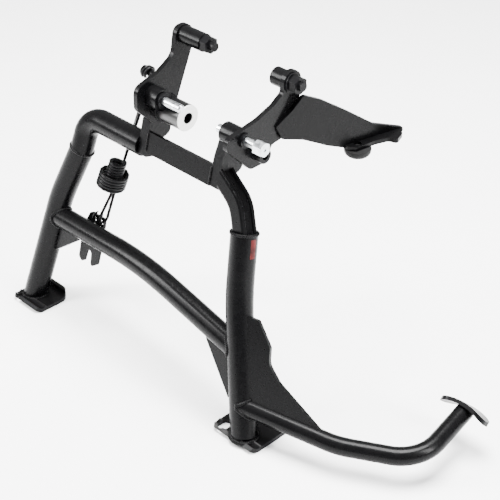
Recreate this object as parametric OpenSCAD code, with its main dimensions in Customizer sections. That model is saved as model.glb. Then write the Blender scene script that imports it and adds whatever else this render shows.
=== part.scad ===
// Motorcycle centre stand, shown deployed and standing on its two feet.
// X runs along the pivot axis towards the bike's left, Y to the rear, Z up.
// The origin is the centre of the bare end face of the left pivot boss.

/* [Pivot and brackets] */
// Diameter of the pivot bolts
pivot_d = 12; // [10:0.5:14]
// Radial running clearance of the lugs on the pivot bolts
pivot_gap = 0.05; // [0.02:0.01:0.1]
// Diameter of the left pivot boss
boss_d = 30; // [26:1:34]
// Length of the left pivot boss
boss_len = 36; // [28:1:44]
// Diameter of the open mouth of the boss
mouth_d = 12.9; // [12.6:0.1:16]
// Depth of the open mouth of the boss
mouth_len = 20; // [10:1:24]
// Thickness of the bracket plates
plate_t = 6; // [4:0.5:8]
// Distance between the inner faces of the two bracket plates
plate_gap = 135; // [130:1:150]
// Gap between a lug or sleeve and the face it turns against
side_gap = 0.4; // [0.3:0.1:0.8]

/* [Frame bolts] */
// Distance of the frame bolt in front of the pivot
frame_y = 18; // [16:1:20]
// Height of the frame bolt above the pivot
frame_z = 21; // [20:1:23]
// Diameter of the frame bolts
frame_bolt_d = 9.6; // [8:0.1:10]
// Diameter of the left frame spacer
drum_d = 24; // [20:1:26]
// Length of the left frame spacer
drum_len = 17; // [12:1:22]
// Length of the right frame spacer
drum_r_len = 21; // [14:1:26]
// Reach of the left frame bolt past its spacer
tip_len = 27; // [15:1:35]
// Bare shank between the right plate and the bolt head
bare_len = 15; // [6:1:18]

/* [Upper bolts] */
// Diameter of the upper bolts
upper_bolt_d = 10; // [8:0.5:12]
// Diameter of the upper spacers
upper_spacer_d = 20; // [17:1:24]
// Length of the left upper spacer
upper_len_l = 32; // [24:1:40]
// Length of the right upper spacer
upper_len_r = 17; // [12:1:24]
// Width across the flats of the upper nuts
upper_nut_w = 17; // [15:0.5:19]

/* [Stand frame] */
// Forward lean of the stand frame in degrees
lean = 14.5; // [10:0.5:18]
// Distance of the frame's front face in front of the pivot
front_y = 13.5; // [12:0.5:15]
// Thickness of the lugs
lug_t = 13; // [11:0.5:14]
// Distance between the two lugs
lug_gap = 101.4; // [96:0.2:104]
// Height of the crossbar
bar_h = 24; // [18:1:26]
// Thickness of the crossbar
bar_t = 5; // [3:0.5:7]
// Diameter of the left shoulder tube
shoulder_d = 28; // [24:1:29]
// Width of the right shoulder bar across the frame
bar_w = 22; // [18:1:24]
// Depth of the right shoulder bar
bar_d = 18; // [14:0.5:19]
// Wall of the right shoulder bar
bar_wall = 4; // [3:0.5:4.5]
// Depth of the groove along the right shoulder bar
groove_depth = 2.5; // [1:0.5:3]
// Diameter of the left leg
leg_l_d = 29; // [26:0.5:30]
// Diameter of the right leg
leg_r_d = 30; // [27:1:32]
// Wall of the leg and cross tubes
tube_wall = 2.5; // [1.5:0.5:3.5]
// Diameter of the cross tube
cross_d = 26; // [23:1:27]
// Thickness of the gusset plates
gusset_t = 5; // [3:0.5:6]

/* [Feet] */
// Distance of the ground below the pivot
ground = 297; // [290:1:304]
// Thickness of the foot plates
foot_t = 5; // [4:0.5:6]
// Radius of the upturned front and rear of the feet
foot_curl = 12; // [9:1:14]

/* [Pedal] */
// Diameter of the pedal tube
pedal_d = 20; // [17:0.5:22]
// Bend radius of the pedal tube
pedal_bend = 48; // [40:1:52]
// Length of the pedal pad
pad_len = 57; // [50:1:70]
// Width of the pedal pad
pad_w = 28; // [22:1:34]
// Thickness of the pedal pad
pad_t = 4.5; // [3:0.5:6]

/* [Stop arm] */
// Angle of the stop arm away from the rearward direction
arm_turn = 12; // [8:1:14]
// Thickness of the stop arm
arm_t = 5; // [4:0.5:6]
// Diameter of the rubber stop
stop_d = 30; // [24:1:31]
// Height of the rubber stop
stop_h = 10; // [8:0.5:12]

/* [Springs] */
// Diameter of the spring wire
wire_d = 3.6; // [2.8:0.1:4]
// Mean diameter of the outer spring
outer_d = 32; // [29:1:34]
// Turns of the outer spring
outer_turns = 5; // [4:1:7]
// Mean diameter of the inner spring
inner_d = 17.5; // [14:0.5:19]
// Turns of the inner spring
inner_turns = 7; // [5:1:8]

/* [Hidden] */

// Faces along the pivot axis
xl_in = -boss_len;
xl_out = xl_in - plate_t;
xr_in = xl_in + plate_gap;
xr_out = xr_in + plate_t;
lug_l = xl_out - side_gap;
lug_r = lug_l + lug_gap;
bolt_hole_d = frame_bolt_d + 0.4;
upper_hole_d = upper_bolt_d + 0.4;
pivot_hole_d = pivot_d + 2 * pivot_gap;
frame_at = [-frame_y, frame_z];
upper_l = [30, 77];
upper_r = [50, 62];
tube_y = -4.5;
ground_l = -(ground - foot_t);
swell = 0.05;

// Leg and cross tube centre lines in the frame's own plane, as [x, z]
leg_l_top = [-157.5, -92];
leg_l_mid = [-182, -160];
leg_l_end = [-207, -303];
leg_r_top = [112.5, -86];
leg_r_mid = [122.5, -158];
leg_r_end = [167, -304];
cross_l = [-178, -187];
cross_mid = [-28, -184];
cross_r = [136, -214];
arm_l = [[lug_l - lug_t, -49.3], [-150.5, -49.3], leg_l_top];
arm_r = [[lug_r + lug_t - 12, -32.5], [100, -57.5], leg_r_top];
arm_bend_l = 27;
arm_bend_r = 36;
groove_w = 11;

// Pedal tube centre line, as [x, y, z]
pedal_a = [160, -76, -258];
pedal_b = [270, -46, -264];
pedal_c = [346, -3, -263];
pedal_e = [337, 81, -252];
pad_at = [336.5, 85, -248];

// Spring post, hook plate and the hooks of the two springs
post_d = 8;
post_at_yz = [8, 27];
hook_x = [-152, -116];
hook_t = 4;
hook_y = tube_y + cross_d / 2 + 0.2;
hook_top = -168;
eye_d = 7.4;
eye_at_x = [-133.5, -121.5];
coil_start = 52;
coil_pitch = wire_d + 0.3;
low_hook_r = wire_d / 2 + 4.2;
high_hook_r = post_d / 2 + wire_d / 2 + 0.6;
post_len = 38;
function eye_at(i) = lean_at([eye_at_x[i], hook_y + hook_t / 2, hook_top - 6]);
function post_at(i) = [xl_out - post_len + 4.4 + i * (wire_d + 0.8), post_at_yz[0],
    post_at_yz[1]];

// Vector helpers
function unit(v) = v / norm(v);
function cut(a, b, d) = a + d * unit(b - a);
function turn_of(a, b, c) = acos(max(-1, min(1, unit(b - a) * unit(c - b))));
function lift(p, y = tube_y) = [p[0], y, p[1]];
function lean_at(p) = [p[0], p[1] * cos(lean) + p[2] * sin(-lean) * -1,
    -p[1] * sin(lean) + p[2] * cos(lean)];

// Rounded outline: each corner is [x, y, radius]
function corner(a, b, c, n) =
    let (u = unit([a[0] - b[0], a[1] - b[1]]), v = unit([c[0] - b[0], c[1] - b[1]]),
        h = acos(max(-1, min(1, u * v))) / 2, t = b[2] / tan(h),
        m = unit(u + v), o = [b[0], b[1]] + m * b[2] / sin(h),
        s = [b[0], b[1]] + u * t - o, e = [b[0], b[1]] + v * t - o,
        a0 = atan2(s[1], s[0]), d0 = atan2(e[1], e[0]) - a0,
        d = d0 > 180 ? d0 - 360 : d0 < -180 ? d0 + 360 : d0)
    [for (i = [0:n]) o + b[2] * [cos(a0 + d * i / n), sin(a0 + d * i / n)]];
function rounded(p, n = 6) = [for (i = [0:len(p) - 1])
    each corner(p[(i + len(p) - 1) % len(p)], p[i], p[(i + 1) % len(p)], n)];

// Puts the Z axis along a direction, with X towards a side hint
module along(o, dir, side = [0, 1, 0]) {
    z = unit(dir);
    x = unit(side - (side * z) * z);
    y = cross(z, x);
    multmatrix([[x[0], y[0], z[0], o[0]], [x[1], y[1], z[1], o[1]],
        [x[2], y[2], z[2], o[2]], [0, 0, 0, 1]]) children();
}

// Upright profile plate: an outline in [y, z] given a thickness along +X
module yz_plate(x, t, p) {
    translate([x, 0, 0]) rotate([90, 0, 90]) linear_extrude(height = t) polygon(p);
}

module x_rod(x, at, d, len) {
    translate([x, at[0], at[1]]) rotate([0, 90, 0]) cylinder(d = d, h = len, $fn = 48);
}

module x_hex(x, at, w, len) {
    translate([x, at[0], at[1]]) rotate([0, 90, 0]) cylinder(d = w / cos(30), h = len, $fn = 6);
}

// Tips the stand frame forward about the pivot axis
module leaned() {
    rotate([-lean, 0, 0]) children();
}

// One straight run of a round tube
module run(a, b, d) {
    along(a, b - a) cylinder(d = d, h = norm(b - a), $fn = 48);
}

// Round rod along three points with one true bend, which swells a trace
module bent_rod(a, b, c, r, d) {
    t = r * tan(turn_of(a, b, c) / 2);
    s = cut(b, a, t);
    e = cut(b, c, t);
    n = unit(cross(b - a, c - b));
    o = s + r * cross(n, unit(b - a));
    run(a, cut(s, b, 1), d);
    run(cut(e, b, 1), c, d);
    along(o, n, s - o) rotate_extrude(angle = turn_of(a, b, c), $fn = 96)
        translate([r, 0]) circle(d = d + 2 * swell, $fn = 48);
}

// Hollow bar section with rounded corners and a shallow groove on the +X side
module bar_section(g = 0) {
    h = bar_d / 2 + g;
    w = bar_w / 2 + g;
    v = groove_w / 2 - g;
    difference() {
        polygon(rounded([[-h, -w, 4], [h, -w, 2.5], [h, -v, 1], [h - groove_depth, -v, 1],
            [h - groove_depth, v, 1], [h, v, 1], [h, w, 2.5], [-h, w, 4]], 4));
        translate([-h + bar_wall + 2 * g, -w + bar_wall + 2 * g])
            square([bar_d - groove_depth - 2 * bar_wall - 2 * g,
                bar_w - 2 * bar_wall - 2 * g]);
    }
}

// Bent bar along three points, its groove on the outside of the bend; it runs a
// little past its last point, where the leg's own end cuts it
module bent_bar(p, r) {
    a = lift(p[0]);
    b = lift(p[1]);
    c = cut(lift(p[2]), b, -3);
    t = r * tan(turn_of(a, b, c) / 2);
    s = cut(b, a, t);
    e = cut(b, c, t);
    n = unit(cross(b - a, c - b));
    o = s + r * cross(n, unit(b - a));
    along(a, s - a, s - o) linear_extrude(height = norm(s - a) + 1) bar_section();
    along(c, e - c, e - o) linear_extrude(height = norm(c - e) + 1) bar_section();
    along(o, n, s - o) rotate_extrude(angle = turn_of(a, b, c), $fn = 96)
        translate([r, 0]) bar_section(swell);
}

// Outlines of the two bracket plates, as [y, z, radius]
left_outline = [[19, 88, 11], [41.5, 88, 11], [42, 64, 10], [16, 3, 14],
    [9, -15.5, 10], [-17, -14, 12], [-40, 10, 10], [-39.5, 35, 11],
    [-8, 44, 20], [14, 57, 16]];
right_outline = [[37, 75, 12.5], [63, 75, 12.5], [63, 46, 6], [38, 3.5, 4],
    [21, 1, 5], [14, -16, 9], [-10, -16.5, 10], [-43, 18, 8], [-42, 28.5, 6],
    [2, 36.5, 20], [24, 44.5, 20], [38, 54, 6]];

module left_bracket_plate() {
    color("dimgray") difference() {
        yz_plate(xl_out, plate_t, rounded(left_outline));
        x_rod(xl_out - 1, [0, 0], pivot_hole_d, plate_t + 2);
        x_rod(xl_out - 1, frame_at, bolt_hole_d, plate_t + 2);
        x_rod(xl_out - 1, upper_l, upper_hole_d, plate_t + 2);
    }
}

module left_pivot_boss() {
    color("whitesmoke") difference() {
        x_rod(xl_in, [0, 0], boss_d, boss_len);
        x_rod(xl_in - 1, [0, 0], pivot_hole_d, boss_len + 2);
        x_rod(-mouth_len, [0, 0], mouth_d, mouth_len + 1);
        rotate([0, 90, 0]) rotate_extrude($fn = 48)
            polygon([[boss_d / 2 - 1, 0], [boss_d / 2 + 1, 0], [boss_d / 2 + 1, -2]]);
    }
}

module left_pivot_bolt() {
    head = lug_l - lug_t - side_gap;
    color("black") difference() {
        union() {
            x_rod(head - 8, [0, 0], 19, 8);
            x_rod(head - 1, [0, 0], pivot_d, xl_in + boss_len - mouth_len - head);
        }
        x_hex(head - 9, [0, 0], 8, 6);
    }
}

module left_frame_spacer() {
    color("black") difference() {
        x_rod(xl_in, frame_at, drum_d, drum_len);
        x_rod(xl_in - 1, frame_at, bolt_hole_d, drum_len + 2);
    }
}

ring_len = 3;

module left_spacer_ring() {
    color("dimgray") difference() {
        x_rod(xl_in + drum_len, frame_at, drum_d - 6, ring_len);
        x_rod(xl_in + drum_len - 1, frame_at, bolt_hole_d, ring_len + 2);
    }
}

module left_frame_bolt() {
    end = xl_in + drum_len + ring_len + tip_len;
    color("silver") union() {
        x_hex(xl_out - 7, frame_at, 15, 7);
        x_rod(xl_out - 1, frame_at, frame_bolt_d, end - xl_out - 0.5);
        translate([end - 1.5, -frame_y, frame_z]) rotate([0, 90, 0])
            cylinder(d1 = frame_bolt_d, d2 = frame_bolt_d - 2.4, h = 1.5, $fn = 48);
    }
}

module left_upper_spacer() {
    color("black") difference() {
        x_rod(xl_in, upper_l, upper_spacer_d, upper_len_l);
        x_rod(xl_in - 1, upper_l, upper_hole_d, upper_len_l + 2);
    }
}

upper_nut_h = 10;

// Domed head outside the plate, shank through spacer and nut
module left_upper_bolt() {
    color("black") union() {
        intersection() {
            translate([xl_out + 8, upper_l[0], upper_l[1]]) sphere(r = 14.5, $fn = 48);
            x_rod(xl_out - 7, upper_l, 18, 7);
        }
        x_rod(xl_out - 1, upper_l, upper_bolt_d,
            plate_t + upper_len_l + upper_nut_h + 7);
    }
}

module nut(x, at, hole) {
    difference() {
        intersection() {
            x_hex(x, at, upper_nut_w, upper_nut_h);
            translate([x + upper_nut_h / 2, at[0], at[1]])
                sphere(r = upper_nut_w * 0.62, $fn = 48);
        }
        x_rod(x - 1, at, hole, upper_nut_h + 2);
    }
}

module left_upper_nut() {
    color("black") nut(xl_in + upper_len_l, upper_l, upper_hole_d);
}

// Grooved post on the outside of the left plate that holds the springs
module spring_post() {
    color("dimgray") union() {
        x_rod(xl_out - post_len, post_at_yz, post_d, post_len);
        x_rod(xl_out - post_len, post_at_yz, post_d + 4, 2);
        x_rod(xl_out - 3, post_at_yz, post_d + 5, 3);
    }
}

module right_bracket_plate() {
    color("dimgray") difference() {
        yz_plate(xr_in, plate_t, rounded(right_outline));
        x_rod(xr_in - 1, [0, 0], pivot_hole_d, plate_t + 2);
        x_rod(xr_in - 1, frame_at, bolt_hole_d, plate_t + 2);
        x_rod(xr_in - 1, upper_r, upper_hole_d, plate_t + 2);
    }
}

// Stop arm: a tapering plate with a flange along its lower end
arm_outline = [[-14, 20, 1], [6, 34, 6], [20, 47.5, 5], [44, 35.5, 30],
    [77, 14, 40], [114, -12, 30], [154, -27, 1.5], [155, -32, 1.5],
    [80, -32, 8], [52, -20.5, 30], [20, -4, 30], [-6, 4, 2]];
arm_root = [xr_out, 40];
flange_z = -27;
stop_at = [8.5, 90];
flange_outline = [[0, 76, 1], [9, 76, 3], [16, 83, 4], [14, 108, 20], [16, 126, 4],
    [25, 131, 3.5], [16, 145, 6], [4, 152, 1], [0, 152, 1]];

module arm_frame() {
    translate([arm_root[0], arm_root[1], 0]) rotate([0, 0, -arm_turn]) children();
}

module stop_arm() {
    color("black") difference() {
        union() {
            arm_frame() rotate([90, 0, 90]) linear_extrude(height = arm_t)
                polygon(rounded(arm_outline));
            arm_frame() translate([0, 0, flange_z - arm_t]) linear_extrude(height = arm_t)
                polygon(rounded(flange_outline));
        }
        translate([xr_out - 40, -60, -80]) cube([40, 300, 200]);
        arm_frame() translate([stop_at[0], stop_at[1], flange_z - arm_t - 1])
            cylinder(d = 8.4, h = arm_t + 2, $fn = 32);
    }
}

dome_r = 8;

// Rubber buffer with rounded rim and a stem set in the flange
module rubber_stop() {
    color("black") arm_frame() translate([stop_at[0], stop_at[1], flange_z - arm_t])
        rotate_extrude($fn = 64) polygon([[0, 2.5], [3, 2.5], [3.9, 1.6], [3.9, 0],
            [stop_d / 2, 0], each [for (t = [0:9:90]) [stop_d / 2 - dome_r
                + dome_r * cos(t), -stop_h + dome_r * (1 - sin(t))]], [0, -stop_h]]);
}

module right_pivot_bolt() {
    color("black") difference() {
        union() {
            x_rod(xr_out, [0, 0], 16, 12);
            x_rod(lug_r + 0.3, [0, 0], pivot_d, xr_out - lug_r);
        }
        x_hex(xr_out + 6, [0, 0], 8, 7);
    }
}

module right_frame_spacer() {
    color("black") difference() {
        x_rod(xr_in - drum_r_len, frame_at, drum_d - 2, drum_r_len);
        x_rod(xr_in - drum_r_len - 1, frame_at, bolt_hole_d, drum_r_len + 2);
    }
}

module right_bolt_collar() {
    color("dimgray") difference() {
        x_rod(xr_out, frame_at, frame_bolt_d + 6, ring_len);
        x_rod(xr_out - 1, frame_at, bolt_hole_d, ring_len + 2);
    }
}

hex_h = 11;

module right_frame_bolt() {
    head = xr_out + ring_len + bare_len;
    tip = xr_in - drum_r_len - 11;
    color("silver") difference() {
        union() {
            intersection() {
                x_hex(head, frame_at, 14, hex_h);
                translate([head + hex_h - 12, -frame_y, frame_z]) sphere(r = 14, $fn = 48);
            }
            x_rod(tip + 1, frame_at, frame_bolt_d, head - tip);
            translate([tip + 1, -frame_y, frame_z]) rotate([0, -90, 0])
                cylinder(d1 = frame_bolt_d, d2 = frame_bolt_d - 2, h = 1, $fn = 48);
        }
        x_rod(head + hex_h - 1, frame_at, 4, 3);
    }
}

module right_upper_spacer() {
    color("black") difference() {
        x_rod(xr_in - upper_len_r, upper_r, upper_spacer_d, upper_len_r);
        x_rod(xr_in - upper_len_r - 1, upper_r, upper_hole_d, upper_len_r + 2);
    }
}

washer_t = 2;

module right_upper_washer() {
    color("dimgray") difference() {
        x_rod(xr_out, upper_r, 22, washer_t);
        x_rod(xr_out - 1, upper_r, upper_hole_d, washer_t + 2);
    }
}

module right_upper_bolt() {
    color("black") x_rod(xr_in - upper_len_r, upper_r, upper_bolt_d,
        upper_len_r + plate_t + washer_t + upper_nut_h + 4);
}

module right_upper_nut() {
    color("black") nut(xr_out + washer_t, upper_r, upper_hole_d);
}

// Lug outline in the leaned frame, as [y, z, radius]
function lug_outline(low) = [[-10, 0, 2], [-front_y, -19, 8], [-front_y, low, 2],
    [6, low, 2], [8, -40, 6], [18.5, -32, 7], [18.5, -12, 8], [10, 0, 2]];

module lug(x, low) {
    leaned() difference() {
        union() {
            yz_plate(x, lug_t, rounded(lug_outline(low)));
            x_rod(x, [0, 0], 21, lug_t);
        }
        x_rod(x - 1, [0, 0], pivot_hole_d, lug_t + 2);
    }
}

module left_lug() {
    color("dimgray") lug(lug_l - lug_t, -59);
}

module right_lug() {
    color("dimgray") lug(lug_r, -53);
}

module right_pivot_sleeve() {
    color("dimgray") difference() {
        x_rod(lug_r + lug_t, [0, 0], 20, xr_in - side_gap - lug_r - lug_t);
        x_rod(lug_r + lug_t - 1, [0, 0], pivot_hole_d, xr_in - lug_r - lug_t + 2);
    }
}

bar_top = -29;

module crossbar() {
    color("dimgray") leaned() translate([lug_l, -front_y, bar_top - bar_h])
        cube([lug_gap, bar_t, bar_h]);
}

// Solid rods in the place of the legs, also used to cut what meets them
module left_leg_rod(d, start) {
    a = lift(leg_l_top);
    b = lift(leg_l_mid);
    bent_rod(cut(a, b, start), b, lift(leg_l_end), 200, d);
}

module shoulder_rod(d) {
    b = lift(arm_l[1]);
    bent_rod(lift(arm_l[0]), b, cut(lift(arm_l[2]), b, -3), arm_bend_l, d);
}

module left_shoulder() {
    color("dimgray") leaned() difference() {
        shoulder_rod(shoulder_d);
        shoulder_rod(shoulder_d - 2 * tube_wall);
        run(lift(leg_l_top), lift(leg_l_mid), leg_l_d + 2);
    }
}

module right_shoulder() {
    color("dimgray") leaned() difference() {
        bent_bar(arm_r, arm_bend_r);
        run(lift(leg_r_top), lift(leg_r_mid), leg_r_d + 2);
        translate([lug_r + lug_t - 40, -30, -80]) cube([40, 60, 80]);
    }
}

// Legs end flat on the foot plates
module above_feet() {
    intersection() {
        children();
        translate([-300, -200, ground_l]) cube([700, 400, 400]);
    }
}

module left_leg() {
    color("dimgray") above_feet() leaned() difference() {
        left_leg_rod(leg_l_d, 0);
        left_leg_rod(leg_l_d - 2 * tube_wall, 3);
    }
}

module right_leg_rod(d, start) {
    a = lift(leg_r_top);
    b = lift(leg_r_mid);
    c = lift(leg_r_end);
    bent_rod(cut(a, b, start), b, c, 300, d);
}

module right_leg() {
    color("dimgray") above_feet() leaned() difference() {
        right_leg_rod(leg_r_d, 0);
        right_leg_rod(leg_r_d - 2 * tube_wall, 3);
    }
}

module cross_rod(d) {
    bent_rod(lift(cross_l), lift(cross_mid), lift(cross_r), 500, d);
}

module cross_tube() {
    color("dimgray") leaned() difference() {
        cross_rod(cross_d);
        cross_rod(cross_d - 2 * tube_wall);
        left_leg_rod(leg_l_d, 0);
        right_leg_rod(leg_r_d, 0);
    }
}

// Flat gusset in the frame's plane, as [x, z] corners
module flat_gusset(p) {
    translate([0, tube_y + gusset_t / 2, 0]) rotate([90, 0, 0])
        linear_extrude(height = gusset_t) polygon(p);
}

module left_gusset() {
    color("dimgray") leaned() difference() {
        flat_gusset([[-182, -187], [-141, -187], [-139, -202], [-176, -230], [-188, -230]]);
        cross_rod(cross_d);
        left_leg_rod(leg_l_d, 0);
    }
}

module right_gusset() {
    color("dimgray") leaned() difference() {
        flat_gusset([[87, -206], [89, -222], [136, -272], [152, -270], [136, -216]]);
        cross_rod(cross_d);
        right_leg_rod(leg_r_d, 0);
    }
}

// Pedal gusset in the plane of the right leg and the first run of the pedal
leg_low_dir = lean_at(lift(leg_r_mid)) - lean_at(lift(leg_r_end));
pedal_dir = unit(pedal_b - pedal_a);
web_up = unit(leg_low_dir - (leg_low_dir * pedal_dir) * pedal_dir);

module pedal_rod(d) {
    bent_rod(pedal_a, pedal_b, (pedal_b + pedal_c) / 2, 100, d);
    bent_rod((pedal_b * 0.52 + pedal_c * 0.48), pedal_c, pedal_e, pedal_bend, d);
}

module pedal_gusset() {
    color("dimgray") difference() {
        along(pedal_a, cross(pedal_dir, web_up), pedal_dir)
            translate([0, 0, -gusset_t / 2]) linear_extrude(height = gusset_t)
            polygon(rounded([[-4, -1, 1], [-28, 99, 1], [-2, 99, 3], [17.5, 75, 6],
                [20.5, 57, 16], [36, 41.5, 30], [106, 2, 1], [104, -1, 1]]));
        leaned() right_leg_rod(leg_r_d, 0);
        pedal_rod(pedal_d);
    }
}

module pedal_tube() {
    color("dimgray") difference() {
        pedal_rod(pedal_d);
        pedal_rod(pedal_d - 2 * tube_wall);
        leaned() right_leg_rod(leg_r_d, 0);
        pad_cutter();
    }
}

// Pad: an arched plate with rounded ends, tipped back on the tube
pad_tilt = 43;
pad_arch = 66;

module pad_frame() {
    translate(pad_at) rotate([-pad_tilt, 0, 0]) children();
}

module pad_arc(r, h) {
    translate([0, 0, -pad_arch]) rotate([90, 0, 0])
        cylinder(r = r, h = h, center = true, $fn = 96);
}

module pad_cutter() {
    pad_frame() difference() {
        translate([-60, -60, -30]) cube([120, 120, 90]);
        pad_arc(pad_arch - pad_t / 2, 140);
    }
}

module pedal_pad() {
    color("dimgray") pad_frame() intersection() {
        difference() {
            pad_arc(pad_arch + pad_t / 2, 80);
            pad_arc(pad_arch - pad_t / 2, 90);
        }
        translate([0, 0, -20]) linear_extrude(height = 40)
            polygon(rounded([[-pad_len / 2, -pad_w / 2, 11], [pad_len / 2, -pad_w / 2, 11],
                [pad_len / 2, pad_w / 2, 11], [-pad_len / 2, pad_w / 2, 11]], 8));
    }
}

// Foot: a plate with its front and rear edges rolled up, rounded corners and a hole
module foot(x0, x1, y0, y1, hole) {
    r = foot_curl;
    difference() {
        intersection() {
            union() {
                translate([x0, y0, -ground]) cube([x1 - x0, y1 - y0, foot_t]);
                translate([x0, y0, -ground + r]) rotate([0, 90, 0])
                    lip(x1 - x0, r, -50);
                translate([x0, y1, -ground + r]) rotate([0, 90, 0])
                    lip(x1 - x0, r, 0);
            }
            translate([0, 0, -ground - 1]) linear_extrude(height = 30)
                polygon(rounded([[x0, y0 - r, 13], [x1, y0 - r, 13],
                    [x1, y1 + r, 13], [x0, y1 + r, 13]]));
        }
        translate([hole[0], hole[1], -ground - 1]) oval(hole[2], hole[3], 25);
        above_feet() leaned() {
            left_leg_rod(leg_l_d, 0);
            right_leg_rod(leg_r_d, 0);
        }
    }
}

module oval(w, l, h) {
    linear_extrude(height = h) polygon(rounded([[-w / 2, -l / 2, w / 2 - 0.5],
        [w / 2, -l / 2, w / 2 - 0.5], [w / 2, l / 2, w / 2 - 0.5],
        [-w / 2, l / 2, w / 2 - 0.5]], 8));
}

// Part of a rolled lip, standing on its axis
module lip(len, r, from) {
    intersection() {
        difference() {
            cylinder(r = r, h = len, $fn = 96);
            translate([0, 0, -1]) cylinder(r = r - foot_t, h = len + 2, $fn = 96);
        }
        rotate([0, 0, from]) translate([0, 0, -1]) cube([r + 5, r + 5, len + 2]);
    }
}

module left_foot() {
    color("dimgray") foot(-223.5, -172, -95, -65, [-214, -98, 8, 11]);
}

module right_foot() {
    color("dimgray") foot(130, 194, -86, -39, [140.5, -84, 13, 18]);
}

// Hook plate behind the cross tube: two prongs below, two eyes above
module spring_hook() {
    w = hook_x[1] - hook_x[0];
    color("dimgray") leaned() difference() {
        translate([hook_x[0], hook_y + hook_t, 0]) rotate([90, 0, 0])
            linear_extrude(height = hook_t)
            polygon(rounded([[10, hook_top, 4], [w, hook_top, 4], [w, -200, 6],
                [w - 2, -228, 4], [w - 13, -236, 3], [w - 15, -216, 3], [13, -216, 3],
                [9, -238, 4], [0, -230, 4], [0, -190, 8]]));
        for (x = eye_at_x) translate([x, hook_y - 1, hook_top - 6])
            rotate([-90, 0, 0]) cylinder(d = eye_d, h = hook_t + 2, $fn = 32);
    }
}

// Wire of one spring: lower hook, coil about the common line, upper hook
coil_steps = 14;
hook_steps = 10;

function hook_arc(e, to, r, back) =
    let (u = unit(to - e), w = [0, 1, 0], v = unit(w - (w * u) * u))
    [for (i = [0:hook_steps]) let (t = 225 * (back ? hook_steps - i : i) / hook_steps)
        e + r * (cos(t) * v - sin(t) * u)];

function coil_point(r, z, t) = line_low + z * line_dir
    + r * (cos(t) * line_side + sin(t) * cross(line_dir, line_side));

function spring_path(r, turns, z0, t0, low, high) =
    let (m = turns * coil_steps,
        coil = [for (i = [0:m]) coil_point(r, z0 + coil_pitch * i / coil_steps,
            t0 + 360 * i / coil_steps)])
    concat(hook_arc(low + low_hook_r * unit(coil[0] - low), coil[0], low_hook_r, true),
        coil,
        hook_arc(high, coil[m], high_hook_r, false));

function tangents(p) = [for (i = [0:len(p) - 1])
    unit(p[min(i + 1, len(p) - 1)] - p[max(i - 1, 0)])];

// Frames along a path, each turned as little as possible from the last
function carried(t) = [for (i = 0, v = [0, 1, 0]; i < len(t);
    i = i + 1, v = i < len(t) ? unit(v - (v * t[i]) * t[i]) : v) v];

module wire(p, d, sides = 8) {
    t = tangents(p);
    u = carried(t);
    n = len(p);
    pts = [for (i = [0:n - 1]) let (w = cross(t[i], u[i])) for (k = [0:sides - 1])
        p[i] + d / 2 * (cos(360 * k / sides) * u[i] + sin(360 * k / sides) * w)];
    ends = [[for (k = [sides - 1:-1:0]) k], [for (k = [0:sides - 1]) (n - 1) * sides + k]];
    walls = [for (i = [0:n - 2]) for (k = [0:sides - 1])
        [i * sides + k, i * sides + (k + 1) % sides,
            (i + 1) * sides + (k + 1) % sides, (i + 1) * sides + k]];
    polyhedron(points = pts, faces = concat(ends, walls), convexity = 10);
}

line_low = (eye_at(0) + eye_at(1)) / 2;
line_high = (post_at(0) + post_at(1)) / 2;
line_dir = unit(line_high - line_low);
line_side = unit([-1, 0, 0] - ([-1, 0, 0] * line_dir) * line_dir);

module outer_spring() {
    color("black") wire(spring_path(outer_d / 2, outer_turns, coil_start, 290,
        eye_at(0), post_at(0)), wire_d);
}

module inner_spring() {
    color("black") wire(spring_path(inner_d / 2, inner_turns, coil_start + 8, 270,
        eye_at(1), post_at(1)), wire_d);
}

left_bracket_plate();
left_pivot_boss();
left_pivot_bolt();
left_frame_spacer();
left_spacer_ring();
left_frame_bolt();
left_upper_spacer();
left_upper_bolt();
left_upper_nut();
spring_post();
right_bracket_plate();
stop_arm();
rubber_stop();
right_pivot_bolt();
right_frame_spacer();
right_bolt_collar();
right_frame_bolt();
right_upper_spacer();
right_upper_washer();
right_upper_bolt();
right_upper_nut();
left_lug();
right_lug();
right_pivot_sleeve();
crossbar();
left_shoulder();
right_shoulder();
left_leg();
right_leg();
cross_tube();
left_gusset();
right_gusset();
pedal_gusset();
pedal_tube();
pedal_pad();
left_foot();
right_foot();
spring_hook();
outer_spring();
inner_spring();
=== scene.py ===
import math

import bmesh
import bpy
import numpy as np
from mathutils import Matrix


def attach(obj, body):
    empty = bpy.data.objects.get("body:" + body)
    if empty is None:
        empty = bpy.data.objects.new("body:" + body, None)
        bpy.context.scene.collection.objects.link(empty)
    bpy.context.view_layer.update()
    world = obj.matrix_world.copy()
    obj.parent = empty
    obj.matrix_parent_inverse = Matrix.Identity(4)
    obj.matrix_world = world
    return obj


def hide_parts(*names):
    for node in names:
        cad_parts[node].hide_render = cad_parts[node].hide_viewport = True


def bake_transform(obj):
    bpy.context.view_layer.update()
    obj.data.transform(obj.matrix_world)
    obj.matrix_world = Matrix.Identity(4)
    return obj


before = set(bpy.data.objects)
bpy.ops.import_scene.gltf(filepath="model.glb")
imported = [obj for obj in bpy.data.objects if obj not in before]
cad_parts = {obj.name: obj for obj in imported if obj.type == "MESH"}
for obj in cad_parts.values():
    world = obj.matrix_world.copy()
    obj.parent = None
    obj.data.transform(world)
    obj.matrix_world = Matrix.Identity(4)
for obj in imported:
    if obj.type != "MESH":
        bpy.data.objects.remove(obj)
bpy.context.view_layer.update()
print("frame loaded:", len(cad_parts), "nodes")

# Lengths below are metres and angles are degrees. The stand frame leans forward
# about the pivot axis.
stand = {"lean": 14.5, "tubeY": -0.0045, "ground": -0.297, "footTop": -0.292}


def unit(v):
    v = np.asarray(v, float)
    return v / np.linalg.norm(v)


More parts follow.
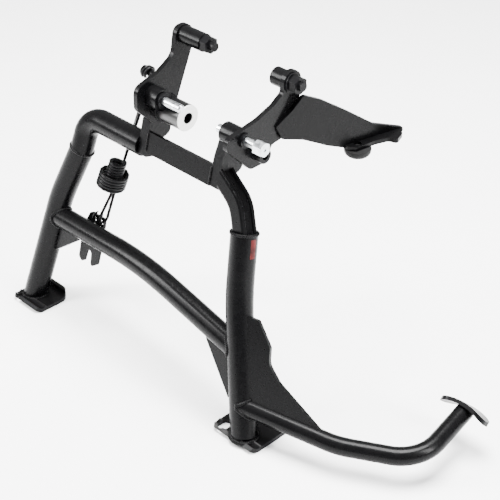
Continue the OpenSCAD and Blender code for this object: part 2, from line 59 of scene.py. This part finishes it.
def leaned(p):
    # a point of the stand frame's own plane, turned forward about the X axis
    a = math.radians(stand["lean"])
    p = np.asarray(p, float)
    y = p[..., 1] * math.cos(a) + p[..., 2] * math.sin(a)
    z = -p[..., 1] * math.sin(a) + p[..., 2] * math.cos(a)
    return np.stack([p[..., 0], y, z], axis=-1)


def gridMesh(name, points, wrapU, wrapV, caps=False):
    # points is rows by columns by 3; neighbours become quads, wrapped where asked
    rows, cols = points.shape[:2]
    verts = points.reshape(-1, 3)
    r = np.arange(rows if wrapU else rows - 1)
    c = np.arange(cols if wrapV else cols - 1)
    rr, cc = np.meshgrid(r, c, indexing="ij")
    r1, c1 = (rr + 1) % rows, (cc + 1) % cols
    quads = np.stack([rr * cols + cc, rr * cols + c1, r1 * cols + c1, r1 * cols + cc],
                     axis=-1).reshape(-1, 4)
    faces = quads.tolist()
    if caps:
        faces.append(list(range(cols))[::-1])
        faces.append([(rows - 1) * cols + k for k in range(cols)])
    mesh = bpy.data.meshes.new(name)
    mesh.from_pydata(verts.tolist(), [], faces)
    mesh.update()
    piece = bpy.data.objects.new(name, mesh)
    bpy.context.scene.collection.objects.link(piece)
    fixNormals(piece)
    mesh.polygons.foreach_set("use_smooth", np.ones(len(mesh.polygons), bool))
    return piece


def fixNormals(piece):
    # every face of a closed shell looks outward
    work = bmesh.new()
    work.from_mesh(piece.data)
    bmesh.ops.recalc_face_normals(work, faces=work.faces)
    work.to_mesh(piece.data)
    work.free()


weld = {"bead": 0.0021, "ripple": 0.16, "pitch": 0.0022, "sides": 10,
        "taper": 0.002, "tip": 0.25}


def beadAlong(name, path, closed, body, size=1.0, spread=None):
    # A bead: at each path point a flattened circle stands across the path, and its
    # radius swells and shrinks as a sine of the distance along it, like weld ripples.
    path = np.asarray(path, float)
    ahead = np.roll(path, -1, axis=0) if closed else np.vstack([path[1:], path[-1:]])
    behind = np.roll(path, 1, axis=0) if closed else np.vstack([path[:1], path[:-1]])
    tangent = ahead - behind
    tangent /= np.linalg.norm(tangent, axis=1, keepdims=True)
    steps = np.linalg.norm(np.diff(path, axis=0), axis=1)
    along = np.concatenate([[0], np.cumsum(steps)])
    side = spread if spread is not None else path - path.mean(axis=0)
    side = np.broadcast_to(side, path.shape).copy()
    side -= (side * tangent).sum(axis=1, keepdims=True) * tangent
    side /= np.linalg.norm(side, axis=1, keepdims=True) + 1e-12
    other = np.cross(tangent, side)
    angle = np.linspace(0, 2 * np.pi, weld["sides"], endpoint=False)
    radius = weld["bead"] * size * (1 + weld["ripple"] * np.sin(
        2 * np.pi * along / weld["pitch"]))
    if not closed:  # both ends run out to a thin tip
        fromEnd = np.minimum(along, along[-1] - along)
        radius = radius * np.clip(fromEnd / weld["taper"] + weld["tip"], 0, 1)
    ring = (np.cos(angle)[None, :, None] * side[:, None, :]
            + np.sin(angle)[None, :, None] * other[:, None, :])
    points = path[:, None, :] + radius[:, None, None] * ring
    piece = gridMesh(name, points, closed, True, caps=not closed)
    piece.data.materials.append(materials["weldCoat"])
    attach(piece, body)
    return piece


def circlePath(centre, axis, radius, count=160):
    # points at an even angle round an axis, from any direction that isn't along it
    axis = unit(axis)
    a = unit(np.cross(axis, [0.3, 0.2, 1.0]))
    b = np.cross(axis, a)
    t = 2 * np.pi * np.arange(count) / count
    return np.asarray(centre) + radius * (np.cos(t)[:, None] * a + np.sin(t)[:, None] * b)


def saddlePath(start, direction, radius, post, postAxis, postRadius, count=200):
    # Each line of a round tube, followed along its own direction until it lies
    # one post radius from the post's axis, gives one point of the saddle joint.
    d, p = unit(direction), unit(postAxis)
    a = unit(np.cross(d, p))
    b = np.cross(d, a)
    t = 2 * np.pi * np.arange(count) / count
    first = np.asarray(start) + radius * (np.cos(t)[:, None] * a + np.sin(t)[:, None] * b)
    rel = first - np.asarray(post)
    across = rel - (rel @ p)[:, None] * p
    dAcross = d - (d @ p) * p
    qa = dAcross @ dAcross
    qb = 2 * across @ dAcross
    qc = (across ** 2).sum(axis=1) - postRadius ** 2
    root = np.sqrt(np.maximum(qb ** 2 - 4 * qa * qc, 0))
    return first + ((-qb - root) / (2 * qa))[:, None] * d


def linePath(a, b, count=60):
    # points spread evenly from a to b
    t = np.linspace(0, 1, count)[:, None]
    return np.asarray(a) * (1 - t) + np.asarray(b) * t


def newGroup(name, inputs, outputs):
    group = bpy.data.node_groups.new(name, "ShaderNodeTree")
    for label, kind, value in inputs:
        socket = group.interface.new_socket(label, in_out="INPUT", socket_type=kind)
        if value is not None:
            socket.default_value = value
    for label, kind in outputs:
        group.interface.new_socket(label, in_out="OUTPUT", socket_type=kind)
    entry = group.nodes.new("NodeGroupInput")
    leave = group.nodes.new("NodeGroupOutput")
    return group, entry, leave


def node(tree, kind, **values):
    made = tree.nodes.new(kind)
    for key, value in values.items():
        setattr(made, key, value)
    return made


def wire(tree, a, outName, b, inName):
    tree.links.new(a.outputs[outName], b.inputs[inName])


grain = {"fine": 1400.0, "coarse": 160.0, "share": 0.35, "fineDetail": 3,
         "coarseDetail": 4}
edges = {"width": 0.0009, "flat": 0.995, "sharp": 0.90, "samples": 6,
         "speck": 220.0, "speckDetail": 5, "speckLow": 0.52, "speckHigh": 0.66}
dust = {"from": 0.3, "to": 1.0, "cloud": 60.0, "cloudDetail": 6}


def makeGrainGroup():
    # fine coat skin: two noises of different size, mixed, as a height
    group, entry, leave = newGroup("coatGrain",
        [("Fine Scale", "NodeSocketFloat", grain["fine"]),
         ("Coarse Scale", "NodeSocketFloat", grain["coarse"]),
         ("Coarse Share", "NodeSocketFloat", grain["share"])],
        [("Height", "NodeSocketFloat"), ("Blotch", "NodeSocketFloat")])
    place = node(group, "ShaderNodeTexCoord")
    fine = node(group, "ShaderNodeTexNoise")
    coarse = node(group, "ShaderNodeTexNoise")
    fine.inputs["Detail"].default_value = grain["fineDetail"]
    coarse.inputs["Detail"].default_value = grain["coarseDetail"]
    mix = node(group, "ShaderNodeMix")
    wire(group, place, "Object", fine, "Vector")
    wire(group, place, "Object", coarse, "Vector")
    wire(group, entry, "Fine Scale", fine, "Scale")
    wire(group, entry, "Coarse Scale", coarse, "Scale")
    # a mix node takes its share at socket 0 and its two numbers at 2 and 3
    group.links.new(entry.outputs["Coarse Share"], mix.inputs[0])
    group.links.new(fine.outputs[0], mix.inputs[2])
    group.links.new(coarse.outputs[0], mix.inputs[3])
    group.links.new(mix.outputs[0], leave.inputs["Height"])
    group.links.new(coarse.outputs[0], leave.inputs["Blotch"])
    return group


def makeEdgeGroup():
    # where the rounded normal leaves the flat one, an edge is near; noise breaks it up
    group, entry, leave = newGroup("edgeWear",
        [("Width", "NodeSocketFloat", edges["width"]), ("Amount", "NodeSocketFloat", 0.6)],
        [("Mask", "NodeSocketFloat")])
    bevel = node(group, "ShaderNodeBevel", samples=edges["samples"])
    geo = node(group, "ShaderNodeNewGeometry")
    dot = node(group, "ShaderNodeVectorMath", operation="DOT_PRODUCT")
    edge = node(group, "ShaderNodeMapRange")
    edge.inputs["From Min"].default_value = edges["flat"]
    edge.inputs["From Max"].default_value = edges["sharp"]
    place = node(group, "ShaderNodeTexCoord")
    speck = node(group, "ShaderNodeTexNoise")
    speck.inputs["Scale"].default_value = edges["speck"]
    speck.inputs["Detail"].default_value = edges["speckDetail"]
    chosen = node(group, "ShaderNodeMapRange")
    chosen.inputs["From Min"].default_value = edges["speckLow"]
    chosen.inputs["From Max"].default_value = edges["speckHigh"]
    times = node(group, "ShaderNodeMath", operation="MULTIPLY")
    share = node(group, "ShaderNodeMath", operation="MULTIPLY", use_clamp=True)
    wire(group, entry, "Width", bevel, "Radius")
    group.links.new(bevel.outputs[0], dot.inputs[0])
    group.links.new(geo.outputs["Normal"], dot.inputs[1])
    group.links.new(dot.outputs["Value"], edge.inputs["Value"])
    wire(group, place, "Object", speck, "Vector")
    group.links.new(speck.outputs[0], chosen.inputs["Value"])
    group.links.new(edge.outputs[0], times.inputs[0])
    group.links.new(chosen.outputs[0], times.inputs[1])
    group.links.new(times.outputs[0], share.inputs[0])
    group.links.new(entry.outputs["Amount"], share.inputs[1])
    group.links.new(share.outputs[0], leave.inputs["Mask"])
    return group


def makeDustGroup():
    # pale dust lies thinly on faces that look up, in soft clouds
    group, entry, leave = newGroup("topDust",
        [("Amount", "NodeSocketFloat", 0.2)], [("Mask", "NodeSocketFloat")])
    geo = node(group, "ShaderNodeNewGeometry")
    split = node(group, "ShaderNodeSeparateXYZ")
    upward = node(group, "ShaderNodeMapRange")
    upward.inputs["From Min"].default_value = dust["from"]
    upward.inputs["From Max"].default_value = dust["to"]
    place = node(group, "ShaderNodeTexCoord")
    cloud = node(group, "ShaderNodeTexNoise")
    cloud.inputs["Scale"].default_value = dust["cloud"]
    cloud.inputs["Detail"].default_value = dust["cloudDetail"]
    times = node(group, "ShaderNodeMath", operation="MULTIPLY")
    share = node(group, "ShaderNodeMath", operation="MULTIPLY", use_clamp=True)
    group.links.new(geo.outputs["Normal"], split.inputs[0])
    group.links.new(split.outputs["Z"], upward.inputs["Value"])
    wire(group, place, "Object", cloud, "Vector")
    group.links.new(upward.outputs[0], times.inputs[0])
    group.links.new(cloud.outputs[0], times.inputs[1])
    group.links.new(times.outputs[0], share.inputs[0])
    group.links.new(entry.outputs["Amount"], share.inputs[1])
    group.links.new(share.outputs[0], leave.inputs["Mask"])
    return group


grainGroup = makeGrainGroup()
edgeGroup = makeEdgeGroup()
dustGroup = makeDustGroup()


def blankMaterial(name):
    made = bpy.data.materials.new(name)
    made.use_nodes = True
    tree = made.node_tree
    shader = tree.nodes["Principled BSDF"]
    return made, tree, shader


def useGroup(tree, group, **values):
    made = tree.nodes.new("ShaderNodeGroup")
    made.node_tree = group
    for key, value in values.items():
        made.inputs[key].default_value = value
    return made


def mixColor(tree, mask, a, b):
    # a colour mix has its share at socket 0, its colours at 6 and 7, its result at 2
    mix = tree.nodes.new("ShaderNodeMix")
    mix.data_type = "RGBA"
    tree.links.new(mask, mix.inputs[0])
    for socket, value in ((mix.inputs[6], a), (mix.inputs[7], b)):
        if isinstance(value, tuple):
            socket.default_value = (*value, 1.0)
        else:
            tree.links.new(value, socket)
    return mix.outputs[2]


def rangeOf(tree, source, low, high, fromLow=0.3, fromHigh=0.7):
    # stretches the usual spread of a noise, or another one, over low to high
    made = tree.nodes.new("ShaderNodeMapRange")
    made.inputs["From Min"].default_value = fromLow
    made.inputs["From Max"].default_value = fromHigh
    made.inputs["To Min"].default_value = low
    made.inputs["To Max"].default_value = high
    tree.links.new(source, made.inputs["Value"])
    return made.outputs[0]


def bumpFrom(tree, shader, height, strength, distance):
    bump = tree.nodes.new("ShaderNodeBump")
    bump.inputs["Strength"].default_value = strength
    bump.inputs["Distance"].default_value = distance
    tree.links.new(height, bump.inputs["Height"])
    tree.links.new(bump.outputs[0], shader.inputs["Normal"])


coat = {"color": (0.0016, 0.0016, 0.0018), "worn": (0.015, 0.015, 0.0155),
        "dust": (0.008, 0.0077, 0.0075), "roughLow": 0.22, "roughHigh": 0.34,
        "clear": 0.03, "clearRough": 0.14, "clearShare": 0.5, "specular": 0.055}


def coatMaterial(name, wear=0.5, dusting=0.25, fine=grain["fine"], coarse=grain["coarse"],
                 share=grain["share"], bump=0.18, depth=0.0002, rougher=0.0, lighter=1.0):
    # black powder coat: worn specks at edges, dust on top, a fine skin as bump
    made, tree, shader = blankMaterial(name)
    skin = useGroup(tree, grainGroup, **{"Fine Scale": fine, "Coarse Scale": coarse,
                                         "Coarse Share": share})
    edge = useGroup(tree, edgeGroup, Amount=wear)
    film = useGroup(tree, dustGroup, Amount=dusting)
    # lighter scales the coat's black; the stop arm's 0.7 is painted shade
    base = tuple(c * lighter for c in coat["color"])
    worn = mixColor(tree, edge.outputs["Mask"], base, coat["worn"])
    dusty = mixColor(tree, film.outputs["Mask"], worn, coat["dust"])
    tree.links.new(dusty, shader.inputs["Base Color"])
    tree.links.new(rangeOf(tree, skin.outputs["Blotch"], coat["roughLow"] + rougher,
                           coat["roughHigh"] + rougher), shader.inputs["Roughness"])
    shader.inputs["Specular IOR Level"].default_value = coat["specular"]
    shader.inputs["Coat Weight"].default_value = coat["clear"]
    shader.inputs["Coat Roughness"].default_value = (coat["clearRough"]
                                                     + rougher * coat["clearShare"])
    bumpFrom(tree, shader, skin.outputs["Height"], bump, depth)
    return made


zinc = {"color": (0.62, 0.64, 0.66), "stain": (0.34, 0.33, 0.31),
        "ringScale": 413.815, "ringBend": 1.5, "cloud": 190.0, "cloudDetail": 6,
        "stainLow": 0.52, "stainHigh": 0.72, "stainShare": 0.8, "roughLow": 0.18,
        "roughHigh": 0.36, "bump": 0.12, "depth": 0.0001}


def zincMaterial(name):
    # turned metal: fine rings along the bolt axis, cloudy stains
    made, tree, shader = blankMaterial(name)
    place = tree.nodes.new("ShaderNodeTexCoord")
    rings = tree.nodes.new("ShaderNodeTexWave")
    rings.inputs["Scale"].default_value = zinc["ringScale"]
    rings.inputs["Distortion"].default_value = zinc["ringBend"]
    tree.links.new(place.outputs["Object"], rings.inputs["Vector"])
    cloud = tree.nodes.new("ShaderNodeTexNoise")
    cloud.inputs["Scale"].default_value = zinc["cloud"]
    cloud.inputs["Detail"].default_value = zinc["cloudDetail"]
    tree.links.new(place.outputs["Object"], cloud.inputs["Vector"])
    stain = rangeOf(tree, cloud.outputs[0], 0.0, zinc["stainShare"], zinc["stainLow"],
                    zinc["stainHigh"])
    tree.links.new(mixColor(tree, stain, zinc["color"], zinc["stain"]),
                   shader.inputs["Base Color"])
    shader.inputs["Metallic"].default_value = 1.0
    tree.links.new(rangeOf(tree, cloud.outputs[0], zinc["roughLow"], zinc["roughHigh"]),
                   shader.inputs["Roughness"])
    bumpFrom(tree, shader, rings.outputs["Fac"], zinc["bump"], zinc["depth"])
    return made


boss = {"bare": (0.80, 0.80, 0.78), "dull": (0.60, 0.59, 0.57), "edgeX": -0.0010,
        "blend": 0.0001, "cloud": 320.0, "dullLow": 0.45, "dullHigh": 0.75,
        "dullShare": 0.5, "metal": 0.35, "coatRough": 0.34, "bareRough": 0.45,
        "bump": 0.15, "depth": 0.0002}


def bossMaterial(name):
    # bare steel on the end face and in the mouth's first millimetre, coat elsewhere
    made, tree, shader = blankMaterial(name)
    place = tree.nodes.new("ShaderNodeTexCoord")
    split = tree.nodes.new("ShaderNodeSeparateXYZ")
    tree.links.new(place.outputs["Object"], split.inputs[0])
    bare = rangeOf(tree, split.outputs["X"], 0.0, 1.0, boss["edgeX"] - boss["blend"],
                   boss["edgeX"])
    skin = useGroup(tree, grainGroup)
    cloud = tree.nodes.new("ShaderNodeTexNoise")
    cloud.inputs["Scale"].default_value = boss["cloud"]
    tree.links.new(place.outputs["Object"], cloud.inputs["Vector"])
    dull = rangeOf(tree, cloud.outputs[0], 0.0, boss["dullShare"], boss["dullLow"],
                   boss["dullHigh"])
    steel = mixColor(tree, dull, boss["bare"], boss["dull"])
    tree.links.new(mixColor(tree, bare, coat["color"], steel), shader.inputs["Base Color"])
    tree.links.new(rangeOf(tree, bare, 0.0, boss["metal"], 0.0, 1.0),
                   shader.inputs["Metallic"])
    tree.links.new(rangeOf(tree, bare, boss["coatRough"], boss["bareRough"], 0.0, 1.0),
                   shader.inputs["Roughness"])
    bumpFrom(tree, shader, skin.outputs["Height"], boss["bump"], boss["depth"])
    return made


plain = {"cloudShare": 8, "roughSpread": 0.07, "second": 1.5}


def plainMaterial(name, color, rough, bump=0.2, scale=900.0, depth=0.0002, second=None,
                  specular=0.1):
    # one colour clouded by a slow noise into a second one, with a fine skin
    made, tree, shader = blankMaterial(name)
    skin = useGroup(tree, grainGroup, **{"Fine Scale": scale,
                                         "Coarse Scale": scale / plain["cloudShare"]})
    cloudy = rangeOf(tree, skin.outputs["Blotch"], 0.0, 1.0)
    other = second or tuple(c * plain["second"] for c in color)
    tree.links.new(mixColor(tree, cloudy, color, other), shader.inputs["Base Color"])
    tree.links.new(rangeOf(tree, skin.outputs["Blotch"], rough - plain["roughSpread"],
                           rough + plain["roughSpread"]), shader.inputs["Roughness"])
    shader.inputs["Specular IOR Level"].default_value = specular
    bumpFrom(tree, shader, skin.outputs["Height"], bump, depth)
    return made


materials = {
    "tubeCoat": coatMaterial("tubeCoat", wear=0.25, dusting=0.22),
    "plateCoat": coatMaterial("plateCoat", wear=0.6, dusting=0.30, bump=0.22),
    # stop arm's coat at 0.7 of the black: painted shade for the arm, whose face lies in shade
    "armShadedCoat": coatMaterial("armShadedCoat", wear=0.4, dusting=0.10, rougher=0.03, lighter=0.7),
    "lugCoat": coatMaterial("lugCoat", wear=0.5, dusting=0.30, fine=520.0, coarse=240.0,
                            share=0.6, bump=0.75, depth=0.0009, rougher=0.10, lighter=1.5),
    "footCoat": coatMaterial("footCoat", wear=0.8, dusting=0.35, bump=0.3, rougher=0.04),
    "weldCoat": coatMaterial("weldCoat", wear=0.2, dusting=0.3, bump=0.4, rougher=0.02),
    "zincPlate": zincMaterial("zincPlate"),
    "bossFace": bossMaterial("bossFace"),
    "blackBolt": coatMaterial("blackBolt", wear=0.7, dusting=0.15, rougher=0.08, lighter=1.6),
    "springWire": plainMaterial("springWire", (0.0025, 0.0025, 0.0028), 0.34, 0.25, 1200.0),
    "stopRubber": plainMaterial("stopRubber", (0.004, 0.004, 0.004), 0.6, 0.4, 700.0),
    "redPatch": plainMaterial("redPatch", (0.075, 0.005, 0.005), 0.5, 0.15, 800.0,
                              second=(0.02, 0.003, 0.003)),
    "paleFloor": plainMaterial("paleFloor", (0.92, 0.92, 0.92), 0.8, 0.05, 60.0,
                               second=(0.94, 0.94, 0.94)),
}
print("materials made:", len(materials))

finishOf = {
    "left_frame_bolt": "zincPlate", "right_frame_bolt": "zincPlate",
    "left_pivot_boss": "bossFace", "rubber_stop": "stopRubber",
    "outer_spring": "springWire", "inner_spring": "springWire",
    "left_lug": "lugCoat", "right_lug": "lugCoat", "crossbar": "plateCoat",
    "left_pivot_bolt": "blackBolt", "right_pivot_bolt": "blackBolt",
    "left_upper_bolt": "blackBolt", "left_upper_nut": "blackBolt",
    "right_upper_bolt": "blackBolt", "right_upper_nut": "blackBolt",
    "right_upper_washer": "blackBolt", "right_bolt_collar": "blackBolt",
    "left_spacer_ring": "blackBolt", "stop_arm": "armShadedCoat",
    "left_bracket_plate": "plateCoat", "right_bracket_plate": "plateCoat",
    "left_foot": "footCoat", "right_foot": "footCoat", "pedal_pad": "footCoat",
    "left_gusset": "plateCoat", "right_gusset": "plateCoat",
    "pedal_gusset": "plateCoat", "spring_hook": "plateCoat",
}
for name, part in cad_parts.items():
    chosen = materials[finishOf.get(name, "tubeCoat")]
    if not part.data.materials:
        part.data.materials.append(chosen)
    for slot in part.material_slots:
        slot.material = chosen
print("CAD nodes dressed")

# Spring end points, upper and lower, and the merge distance for the spring meshes
springs = {"upper": (-0.076, 0.008, 0.024), "lower": (-0.1275, -0.033, -0.168),
           "merge": 0.00001}


def addReachingSpring(name, cadName):
    # the spring's own mesh, merged, as a new piece in place of the hidden CAD spring
    work = bmesh.new()
    work.from_mesh(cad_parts[cadName].data)
    bmesh.ops.remove_doubles(work, verts=work.verts, dist=springs["merge"])
    bmesh.ops.recalc_face_normals(work, faces=work.faces)
    mesh = bpy.data.meshes.new(name)
    work.to_mesh(mesh)
    work.free()
    mesh.polygons.foreach_set("use_smooth", np.ones(len(mesh.polygons), bool))
    mesh.materials.clear()
    mesh.materials.append(materials["springWire"])
    piece = bpy.data.objects.new(name, mesh)
    bpy.context.scene.collection.objects.link(piece)
    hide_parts(cadName)
    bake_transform(piece)


addReachingSpring("reaching_outer_spring", "outer_spring")
addReachingSpring("reaching_inner_spring", "inner_spring")
print("springs made")

# Centre lines of the tubes, as x and z in the leaning frame's plane
legs = {"leftTop": (-0.1575, -0.092), "leftMid": (-0.182, -0.160),
        "leftEnd": (-0.207, -0.303), "leftR": 0.0145,
        "rightTop": (0.1125, -0.086), "rightMid": (0.1225, -0.158),
        "rightEnd": (0.167, -0.304), "rightR": 0.015, "crossR": 0.013,
        "crossLeft": (-0.178, -0.187), "crossMid": (-0.028, -0.184),
        "crossRight": (0.136, -0.214)}
pedal = {"start": (0.160, -0.076, -0.258), "bend": (0.270, -0.046, -0.264),
         "radius": 0.010}
beads = {"inset": 0.0006, "bossX": -0.036, "bossR": 0.0152, "sleeveX": 0.072,
         "sleeveR": 0.0102, "barLeftX": -0.0424, "barRightX": 0.059,
         "barFront": -0.0135, "barLow": -0.052, "barHigh": -0.030}


def inPlane(key):
    x, z = legs[key]
    return leaned(np.array([x, stand["tubeY"], z]))


def groundRing(top, end, radius):
    # the leg's circle slid along the leg until it meets the top of the foot plate
    d = unit(end - top)
    loop = circlePath(top, d, radius, 180)
    return loop + ((stand["footTop"] - loop[:, 2]) / d[2])[:, None] * d


def planeLine(a, b, count=60):
    # a straight path between two points of the leaning frame, each as x, y, z
    return linePath(leaned(np.array(a)), leaned(np.array(b)), count)


def addWelds():
    # a ring of bead round each joint, and a straight one at each end of the crossbar
    at = {key: inPlane(key) for key in legs if not key.endswith("R")}
    leftRun = at["leftEnd"] - at["leftMid"]
    rightRun = at["rightEnd"] - at["rightMid"]
    pedalStart, pedalBend = np.array(pedal["start"]), np.array(pedal["bend"])
    rings = {  # name: path, body and size
        "weld_cross_left": (
            saddlePath(at["crossMid"], at["crossLeft"] - at["crossMid"], legs["crossR"],
                       at["leftMid"], leftRun, legs["leftR"]), "stand", 1.0),
        "weld_cross_right": (
            saddlePath(at["crossMid"], at["crossRight"] - at["crossMid"], legs["crossR"],
                       at["rightMid"], rightRun, legs["rightR"]), "stand", 1.0),
        "weld_left_foot": (
            groundRing(at["leftMid"], at["leftEnd"], legs["leftR"]), "stand", 0.7),
        "weld_right_foot": (
            groundRing(at["rightMid"], at["rightEnd"], legs["rightR"]), "stand", 1.3),
        "weld_pedal_leg": (
            saddlePath(pedalBend, pedalStart - pedalBend, pedal["radius"],
                       at["rightMid"], rightRun, legs["rightR"]), "stand", 1.0),
        "weld_left_shoulder": (
            circlePath(at["leftTop"], at["leftMid"] - at["leftTop"],
                       legs["leftR"] - beads["inset"]), "stand", 0.8),
        "weld_right_shoulder": (
            circlePath(at["rightTop"], at["rightMid"] - at["rightTop"],
                       legs["rightR"] - beads["inset"]), "stand", 0.8),
        "weld_boss": (
            circlePath((beads["bossX"], 0, 0), (1, 0, 0), beads["bossR"]),
            "brackets", 0.9),
        "weld_sleeve": (
            circlePath((beads["sleeveX"], 0, 0), (1, 0, 0), beads["sleeveR"]),
            "stand", 0.8),
    }
    made = [beadAlong(name, path, True, body, size)
            for name, (path, body, size) in rings.items()]
    forward = leaned(np.array([0, -1.0, 0]))
    for name, x in (("weld_bar_left", beads["barLeftX"]),
                    ("weld_bar_right", beads["barRightX"])):
        seam = planeLine((x, beads["barFront"], beads["barLow"]),
                         (x, beads["barFront"], beads["barHigh"]))
        made.append(beadAlong(name, seam, False, "stand", 0.7, forward))
    return made


welds = addWelds()
print("welds made:", len(welds))

# Plain red patch on the right leg: distances from the leg's top, angles from +X
patch = {"near": 0.004, "far": 0.025, "from": -12.0, "to": 16.0, "lift": 0.00015,
         "sunk": 0.0005, "columns": 20, "rows": 16}


def addPatch():
    # a piece of a cylinder a hair outside the leg: angle one way, height the other
    top, mid = inPlane("rightTop"), inPlane("rightMid")
    d = unit(mid - top)
    east = unit(np.array([1.0, 0, 0]) - d[0] * d)
    front = np.cross(d, east)
    if front[1] > 0:
        front = -front
    angle = np.radians(np.linspace(patch["from"], patch["to"], patch["columns"]))
    along = np.linspace(patch["near"], patch["far"], patch["rows"])
    radial = (np.cos(angle)[:, None] * east + np.sin(angle)[:, None] * front)
    shell = [top + r * radial[:, None, :] + along[None, :, None] * d
             for r in (legs["rightR"] + patch["lift"], legs["rightR"] - patch["sunk"])]
    loop = np.concatenate([shell[0], shell[1][:, ::-1]], axis=1)
    piece = gridMesh("red_patch", loop, False, True, caps=True)
    piece.data.polygons.foreach_set("use_smooth", np.zeros(len(piece.data.polygons), bool))
    piece.data.materials.append(materials["redPatch"])
    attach(piece, "stand")
    return piece


addPatch()
print("patch made")

studio = {"floorHalf": 6.0, "floorLines": 5, "floorGap": 0.0002, "world": 0.6,
          "aim": (0.05, 0, -0.15)}
lamps = {  # place, width and height, power in watts
    "topLamp": ((0.1, 0.2, 1.6), (1.0, 1.0), 230),
    "keyLamp": ((-1.0, -1.1, 0.9), (0.4, 1.2), 85),
    "sideLamp": ((1.5, 0.2, 0.7), (0.3, 1.3), 65)}


def addFloor():
    # a flat grid with its far edges out of sight
    t = np.linspace(-studio["floorHalf"], studio["floorHalf"], studio["floorLines"])
    x, y = np.meshgrid(t, t, indexing="ij")
    points = np.stack([x, y, np.full_like(x, stand["ground"] - studio["floorGap"])], axis=-1)
    floor = gridMesh("floor", points, False, False)
    floor.data.materials.append(materials["paleFloor"])


def turned(across, upward, away, place):
    # a matrix whose axes are three directions and whose origin is a place
    return Matrix([[across[i], upward[i], away[i], place[i]] for i in range(3)]
                  + [[0, 0, 0, 1]])


def addLamp(name, place, size, power):
    # a rectangular softbox that faces the aim
    lamp = bpy.data.lights.new(name, "AREA")
    lamp.shape = "RECTANGLE"
    lamp.size, lamp.size_y = size
    lamp.energy = power
    piece = bpy.data.objects.new(name, lamp)
    bpy.context.scene.collection.objects.link(piece)
    away = unit(np.array(place) - np.array(studio["aim"]))
    across = unit(np.cross([0, 0, 1.0], away))
    piece.matrix_world = turned(across, np.cross(away, across), away, place)


def addStudio():
    # an even white sky and the three lamps
    world = bpy.data.worlds.new("studio")
    bpy.context.scene.world = world
    world.use_nodes = True
    sky = world.node_tree.nodes["Background"]
    sky.inputs["Color"].default_value = (1, 1, 1, 1)
    sky.inputs["Strength"].default_value = studio["world"]
    for name, (place, size, power) in lamps.items():
        addLamp(name, place, size, power)


view = {"azimuth": 45.5, "elevation": 33.4, "distance": 1.444,
        "target": (0.071, 0.023, -0.146), "lens": 93.6, "sensor": 36, "clip": (0.05, 50)}


def addCamera():
    # the photograph's own viewpoint
    a, e = math.radians(view["azimuth"]), math.radians(view["elevation"])
    right = np.array([math.cos(a), math.sin(a), 0])
    upward = np.array([-math.sin(a) * math.sin(e), math.cos(a) * math.sin(e),
                       math.cos(e)])
    back = np.array([math.sin(a) * math.cos(e), -math.cos(a) * math.cos(e), math.sin(e)])
    place = np.array(view["target"]) + view["distance"] * back
    lens = bpy.data.cameras.new("photoCamera")
    lens.lens, lens.sensor_width = view["lens"], view["sensor"]
    lens.clip_start, lens.clip_end = view["clip"]
    piece = bpy.data.objects.new("photoCamera", lens)
    bpy.context.scene.collection.objects.link(piece)
    piece.matrix_world = turned(right, upward, back, place)
    bpy.context.scene.camera = piece


addFloor()
addStudio()
addCamera()
print("stage ready")
